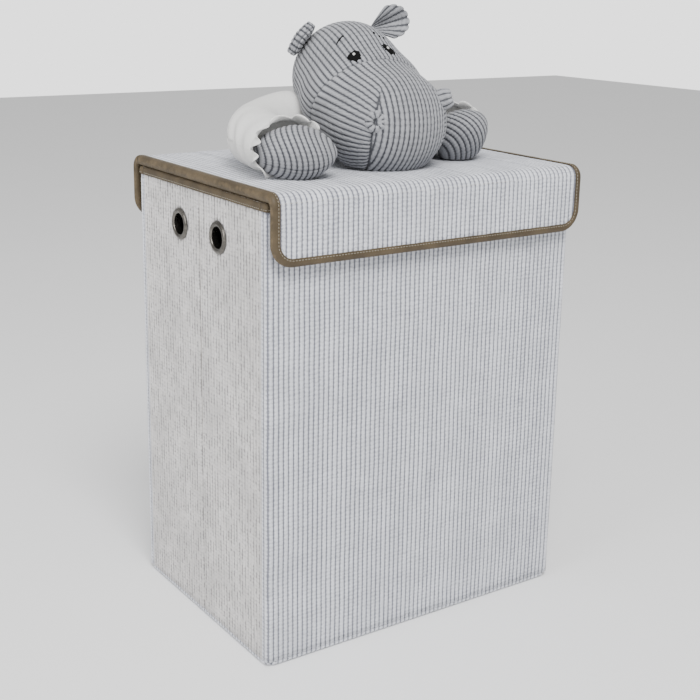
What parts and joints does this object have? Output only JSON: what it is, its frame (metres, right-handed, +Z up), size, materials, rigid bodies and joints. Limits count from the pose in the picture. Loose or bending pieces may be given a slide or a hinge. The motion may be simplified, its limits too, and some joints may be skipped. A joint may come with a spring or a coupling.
{
  "type": "laundry hamper with lid",
  "caption": "Tall foldable fabric laundry hamper with stiff panels, side eyelets, a lid with front and back flaps and a soft animal toy sewn on the lid.",
  "frame": {"origin": "middle of the bottom, on the floor, under the middle of the body", "axes": "+Z up, +X to the hamper's right seen from behind it, the front panel and its lid flap face -Y"},
  "size_m": [0.404, 0.3136, 0.6812],
  "materials": {
    "corduroy": "wide-wale corduroy",
    "side_cloth": "corduroy with a soft, uneven nap",
    "lining": "plain woven cloth",
    "board": "grey chipboard",
    "binding": "imitation leather tape with a white stitch row",
    "eyelet_metal": "dark nickel plate",
    "wadding": "polyester wadding",
    "toy_corduroy": "wide-wale corduroy",
    "toy_cotton": "plain cotton",
    "eye_thread": "satin-stitch thread"
  },
  "bodies": {
    "back_wall": {"back_cover": "corduroy", "back_board": "board", "back_lining": "lining", "back_rim_binding": "binding", "bottom_cloth": "lining", "lid_hinge_strip": "lining"},
    "left_rear_side": {"left_rear_cover": "side_cloth", "left_rear_board": "board", "left_rear_lining": "lining", "left_rear_rim_binding": "binding", "left_rear_eyelet": "eyelet_metal", "left_rear_washer": "eyelet_metal"},
    "left_front_side": {"left_front_cover": "side_cloth", "left_front_board": "board", "left_front_lining": "lining", "left_front_rim_binding": "binding", "left_front_eyelet": "eyelet_metal", "left_front_washer": "eyelet_metal"},
    "right_rear_side": {"right_rear_cover": "side_cloth", "right_rear_board": "board", "right_rear_lining": "lining", "right_rear_rim_binding": "binding", "right_rear_eyelet": "eyelet_metal", "right_rear_washer": "eyelet_metal"},
    "right_front_side": {"right_front_cover": "side_cloth", "right_front_board": "board", "right_front_lining": "lining", "right_front_rim_binding": "binding", "right_front_eyelet": "eyelet_metal", "right_front_washer": "eyelet_metal"},
    "front_wall": {"front_cover": "corduroy", "front_board": "board", "front_lining": "lining", "front_rim_binding": "binding"},
    "base": {"base_board": "board", "base_cloth": "lining"},
    "lid": {"lid_lining": "lining", "lid_board": "board", "lid_wadding": "wadding", "lid_cover": "corduroy", "lid_left_binding": "binding", "lid_right_binding": "binding", "plush_head": "toy_corduroy", "plush_torso": "toy_cotton", "left_paw": "toy_corduroy", "right_paw": "toy_corduroy", "left_sleeve": "toy_cotton", "right_sleeve": "toy_cotton", "left_ear": "toy_corduroy", "right_ear": "toy_corduroy", "left_eye": "eye_thread", "right_eye": "eye_thread"},
    "front_flap": {"front_flap_cover": "corduroy", "front_flap_board": "board", "front_flap_lining": "lining", "front_flap_binding": "binding"},
    "back_flap": {"back_flap_cover": "corduroy", "back_flap_board": "board", "back_flap_lining": "lining", "back_flap_binding": "binding"}
  },
  "joints": [
    {"name": "left_rear_fold", "type": "hinge", "parent": "back_wall", "child": "left_rear_side", "pos_m": [-0.1932, 0.131, 0.25], "axis": [0, 0, -1], "range_deg": [-84, 0]},
    {"name": "left_mid_crease", "type": "hinge", "parent": "left_rear_side", "child": "left_front_side", "pos_m": [-0.2014, 0, 0.25], "axis": [0, 0, -1], "range_deg": [0, 168]},
    {"name": "front_left_corner", "type": "hinge", "parent": "left_front_side", "child": "front_wall", "pos_m": [-0.1932, -0.131, 0.25], "axis": [0, 0, -1], "range_deg": [-84, 0]},
    {"name": "right_rear_fold", "type": "hinge", "parent": "back_wall", "child": "right_rear_side", "pos_m": [0.1932, 0.131, 0.25], "axis": [0, 0, -1], "range_deg": [0, 84]},
    {"name": "right_mid_crease", "type": "hinge", "parent": "right_rear_side", "child": "right_front_side", "pos_m": [0.2014, 0, 0.25], "axis": [0, 0, -1], "range_deg": [-168, 0]},
    {"name": "base_tip", "type": "hinge", "parent": "back_wall", "child": "base", "pos_m": [0, 0.1355, 0.0052], "axis": [1, 0, 0], "range_deg": [-90, 0]},
    {"name": "lid_hinge", "type": "hinge", "parent": "back_wall", "child": "lid", "pos_m": [0, 0.1568, 0.5095], "axis": [-1, 0, 0], "range_deg": [0, 205]},
    {"name": "front_flap_hinge", "type": "hinge", "parent": "lid", "child": "front_flap", "pos_m": [0, -0.1568, 0.5095], "axis": [-1, 0, 0], "range_deg": [0, 178]},
    {"name": "back_flap_hinge", "type": "hinge", "parent": "back_wall", "child": "back_flap", "pos_m": [0, 0.1568, 0.5095], "axis": [-1, 0, 0], "range_deg": [-80, 0]}
  ],
  "couplings": [
    {"joint": "left_mid_crease", "follows": "left_rear_fold", "ratio": -2},
    {"joint": "front_left_corner", "follows": "left_rear_fold", "ratio": 1},
    {"joint": "right_rear_fold", "follows": "left_rear_fold", "ratio": -1},
    {"joint": "right_mid_crease", "follows": "left_rear_fold", "ratio": 2}
  ]
}
